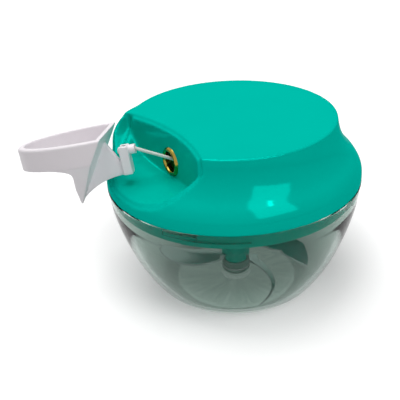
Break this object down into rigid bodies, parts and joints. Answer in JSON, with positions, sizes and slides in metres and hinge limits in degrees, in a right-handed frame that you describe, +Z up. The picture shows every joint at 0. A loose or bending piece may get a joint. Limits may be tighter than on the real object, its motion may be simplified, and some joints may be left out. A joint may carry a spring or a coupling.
{
  "type": "manual food chopper",
  "caption": "Clear round bowl with curved blades on a spindle, under a domed lid whose pull handle and cord spin the blades.",
  "frame": {"origin": "centre of the flat ring that the bowl stands on", "axes": "+Z up along the spindle, -X towards the lid's pocket and pull cord, +Y to its right seen from the pocket"},
  "size_m": [0.1515, 0.12, 0.0918],
  "materials": {
    "bowl_clear": "clear smoky moulded plastic, glossy",
    "steel": "turned steel, satin",
    "seal": "soft ring, matt",
    "teal": "moulded, glossy",
    "brass": "pressed brass, polished",
    "screw_steel": "plated steel",
    "white_plastic": "moulded, matt",
    "spring_steel": "blue-grey spring strip",
    "cord": "braided cord",
    "handle": "pale moulded plastic, satin",
    "blade_steel": "ground stainless steel"
  },
  "bodies": {
    "bowl": {"bowl": "bowl_clear", "pivot_pin": "steel"},
    "seal": {"lid_seal": "seal"},
    "lid": {"lid_housing": "teal", "cord_eyelet": "brass", "lid_base": "teal", "base_screws": "screw_steel", "hub_bush": "white_plastic", "axle_pin": "steel", "spring_arbor": "steel", "thrust_washer": "white_plastic", "pull_cord": "cord"},
    "reel": {"drive_hub": "teal", "cord_reel": "white_plastic", "hub_screws": "screw_steel", "cord_winding": "cord", "reel_cover": "white_plastic", "mainspring": "spring_steel"},
    "blades": {"blade_spindle": "teal", "lower_blade": "blade_steel", "lower_spacer": "teal", "middle_blade": "blade_steel", "middle_spacer": "teal", "upper_blade": "blade_steel", "spindle_cap": "teal"},
    "handle": {"pull_handle": "handle", "cord_ferrule": "handle", "cord_knot": "cord"}
  },
  "joints": [
    {"name": "lid_lift", "type": "slide", "parent": "bowl", "child": "seal", "axis": [0, 0, 1], "range_m": [0, 0.07]},
    {"name": "lid_turn", "type": "hinge", "parent": "seal", "child": "lid", "pos_m": [0, 0, 0.0575], "axis": [0, 0, -1], "range_deg": [0, 30]},
    {"name": "handle_pull", "type": "slide", "parent": "lid", "child": "handle", "axis": [-0.846, 0.3556, 0.3971], "range_m": [0, 0.22], "stiffness_N_per_m": 12, "springref_m": -0.12, "deforming": ["pull_cord"]},
    {"name": "reel_spin", "type": "hinge", "parent": "lid", "child": "reel", "pos_m": [0, 0, 0.0638], "axis": [0, 0, 1], "range_deg": [-590, 0], "deforming": ["mainspring"]},
    {"name": "blade_seat", "type": "slide", "parent": "reel", "child": "blades", "axis": [0, 0, -1], "range_m": [0, 0.07]}
  ],
  "couplings": [
    {"joint": "reel_spin", "follows": "handle_pull", "rad_per_m": -46.4},
    {"joint": "blade_seat", "follows": "lid_lift", "ratio": 1}
  ]
}
